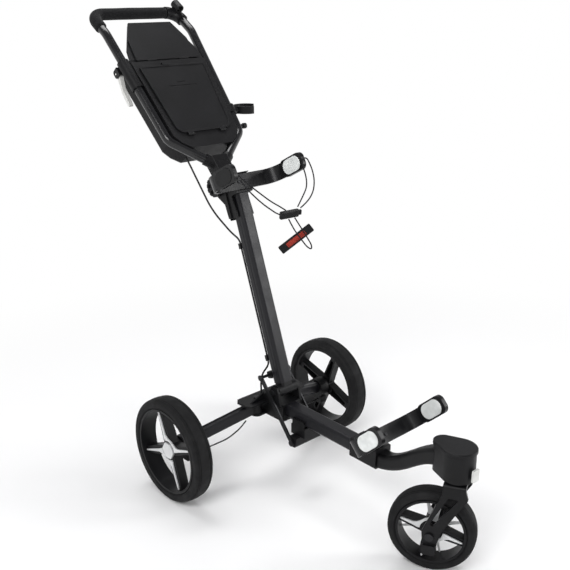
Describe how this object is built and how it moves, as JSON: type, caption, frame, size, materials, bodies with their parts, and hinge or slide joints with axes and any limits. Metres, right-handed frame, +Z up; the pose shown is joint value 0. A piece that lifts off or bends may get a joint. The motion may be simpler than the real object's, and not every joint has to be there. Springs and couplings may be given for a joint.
{
  "type": "golf push cart",
  "caption": "Folding three-wheeled golf push cart with a bag cradle at each end of its frame, a console on the tilting handle and a swivelling front wheel.",
  "frame": {"origin": "on the ground, midway along the cart's length and between the rear wheels", "axes": "+Z up; the front wheel toward -Y, the handle toward +Y, X across"},
  "size_m": [0.646, 1.2946, 1.2798],
  "materials": {
    "anodised_tube": "satin",
    "moulded_black": "fine grain",
    "gloss_black": "gloss",
    "console_black": "satin",
    "tyre": "matt rubber",
    "silver_trim": "satin silver",
    "pad_white": "matt",
    "foam": "foam",
    "steel": "brushed",
    "black_steel": "black oxide",
    "cord": "braided",
    "cable": "extruded",
    "lever_pale": "satin"
  },
  "bodies": {
    "frame": {"hub_casting": "moulded_black", "front_leg": "anodised_tube", "front_connector": "moulded_black", "gooseneck": "moulded_black", "steering_head": "moulded_black", "head_cap": "moulded_black", "swivel_bearings": "steel", "frame_fasteners": "black_steel", "lower_cradle": "gloss_black", "lower_cradle_pads": "pad_white"},
    "swivel_lock": {"swivel_lock": "lever_pale"},
    "fold_slider": {"fold_slider": "moulded_black"},
    "column": {"column_tube": "anodised_tube", "column_foot": "moulded_black", "column_head": "moulded_black", "column_fasteners": "black_steel", "upper_cradle": "gloss_black", "upper_cradle_pads": "pad_white", "brake_cable": "cable", "brake_cable_spans": "cable", "bungee_strand_a": "cord", "bungee_strand_b": "cord", "bungee_loop": "cord", "bungee_tail": "cord", "bungee_fittings": "moulded_black"},
    "fold_links": {"fold_links": "black_steel"},
    "tilt_knob": {"tilt_knob": "moulded_black"},
    "handle": {"handle_yoke": "moulded_black", "handle_tube": "gloss_black", "grip": "foam", "console_tray": "console_black", "brake_bracket": "moulded_black", "cup_holder": "moulded_black", "handle_clamps": "moulded_black"},
    "console_lid": {"console_lid": "console_black"},
    "console_flap": {"console_flap": "console_black"},
    "brake_lever": {"brake_lever": "lever_pale"},
    "caster": {"caster_fork": "moulded_black", "caster_pins": "black_steel"},
    "front_wheel": {"front_tyre": "tyre", "front_rim": "moulded_black", "front_trims": "silver_trim", "front_bearings": "steel"},
    "rear_leg_left": {"rear_leg_left": "anodised_tube", "rear_leg_left_fittings": "moulded_black", "leg_cable_left": "cable"},
    "brake_pin_left": {"brake_pin_left": "steel"},
    "rear_wheel_left": {"rear_left_tyre": "tyre", "rear_left_rim": "moulded_black", "rear_left_trims": "silver_trim", "rear_left_bearings": "steel"},
    "rear_leg_right": {"rear_leg_right": "anodised_tube", "rear_leg_right_fittings": "moulded_black", "leg_cable_right": "cable"},
    "brake_pin_right": {"brake_pin_right": "steel"},
    "rear_wheel_right": {"rear_right_tyre": "tyre", "rear_right_rim": "moulded_black", "rear_right_trims": "silver_trim", "rear_right_bearings": "steel"}
  },
  "joints": [
    {"name": "column_fold", "type": "hinge", "parent": "frame", "child": "column", "pos_m": [0, -0.00796, 0.271], "axis": [1, 0, 0], "range_deg": [0, 88]},
    {"name": "fold_link_swing", "type": "hinge", "parent": "column", "child": "fold_links", "pos_m": [0, 0.035, 0.30246], "axis": [1, 0, 0], "range_deg": [-82.2, 0]},
    {"name": "fold_slide", "type": "slide", "parent": "frame", "child": "fold_slider", "axis": [0, -0.9996, -0.0279], "range_m": [0, 0.05635]},
    {"name": "leg_fold_left", "type": "hinge", "parent": "frame", "child": "rear_leg_left", "pos_m": [-0.052, 0.05204, 0.212], "axis": [0, 0, 1], "range_deg": [0, 52]},
    {"name": "leg_fold_right", "type": "hinge", "parent": "frame", "child": "rear_leg_right", "pos_m": [0.052, 0.05204, 0.212], "axis": [0, 0, 1], "range_deg": [-52, 0]},
    {"name": "handle_tilt", "type": "hinge", "parent": "column", "child": "handle", "pos_m": [0, 0.22806, 0.80271], "axis": [1, 0, 0], "range_deg": [-118, 15], "deforming": ["brake_cable_spans"]},
    {"name": "tilt_knob_turn", "type": "hinge", "parent": "column", "child": "tilt_knob", "pos_m": [0, 0.22806, 0.80271], "axis": [1, 0, 0], "continuous": true},
    {"name": "lid_open", "type": "hinge", "parent": "handle", "child": "console_lid", "pos_m": [0, 0.3039, 0.93889], "axis": [1, 0, 0], "range_deg": [0, 110]},
    {"name": "flap_open", "type": "hinge", "parent": "handle", "child": "console_flap", "pos_m": [0, 0.47695, 1.12352], "axis": [1, 0, 0], "range_deg": [0, 100]},
    {"name": "brake_lever_pull", "type": "hinge", "parent": "handle", "child": "brake_lever", "pos_m": [-0.14703, 0.50146, 1.08944], "axis": [1, 0, 0], "range_deg": [0, 40]},
    {"name": "caster_swivel", "type": "hinge", "parent": "frame", "child": "caster", "pos_m": [0, -0.58896, 0.254], "axis": [0, 0, 1], "continuous": true},
    {"name": "front_wheel_spin", "type": "hinge", "parent": "caster", "child": "front_wheel", "pos_m": [-0.02347, -0.54482, 0.106], "axis": [0.8829, 0.4695, 0], "continuous": true},
    {"name": "swivel_lock_pull", "type": "slide", "parent": "frame", "child": "swivel_lock", "axis": [0, -1, 0], "range_m": [0, 0.006]},
    {"name": "brake_pin_push_left", "type": "slide", "parent": "rear_leg_left", "child": "brake_pin_left", "axis": [-1, 0, 0], "range_m": [0, 0.0051]},
    {"name": "rear_wheel_spin_left", "type": "hinge", "parent": "rear_leg_left", "child": "rear_wheel_left", "pos_m": [-0.295, 0.11604, 0.145], "axis": [1, 0, 0], "continuous": true},
    {"name": "brake_pin_push_right", "type": "slide", "parent": "rear_leg_right", "child": "brake_pin_right", "axis": [1, 0, 0], "range_m": [0, 0.0051]},
    {"name": "rear_wheel_spin_right", "type": "hinge", "parent": "rear_leg_right", "child": "rear_wheel_right", "pos_m": [0.295, 0.11604, 0.145], "axis": [1, 0, 0], "continuous": true}
  ],
  "couplings": [
    {"joint": "fold_link_swing", "follows": "column_fold", "ratio": -0.92842},
    {"joint": "fold_slide", "follows": "column_fold", "m_per_rad": 0.036168},
    {"joint": "leg_fold_left", "follows": "column_fold", "ratio": 0.59085},
    {"joint": "leg_fold_right", "follows": "column_fold", "ratio": -0.59085},
    {"joint": "brake_pin_push_left", "follows": "brake_lever_pull", "m_per_rad": 0.007162},
    {"joint": "brake_pin_push_right", "follows": "brake_lever_pull", "m_per_rad": 0.007162}
  ]
}
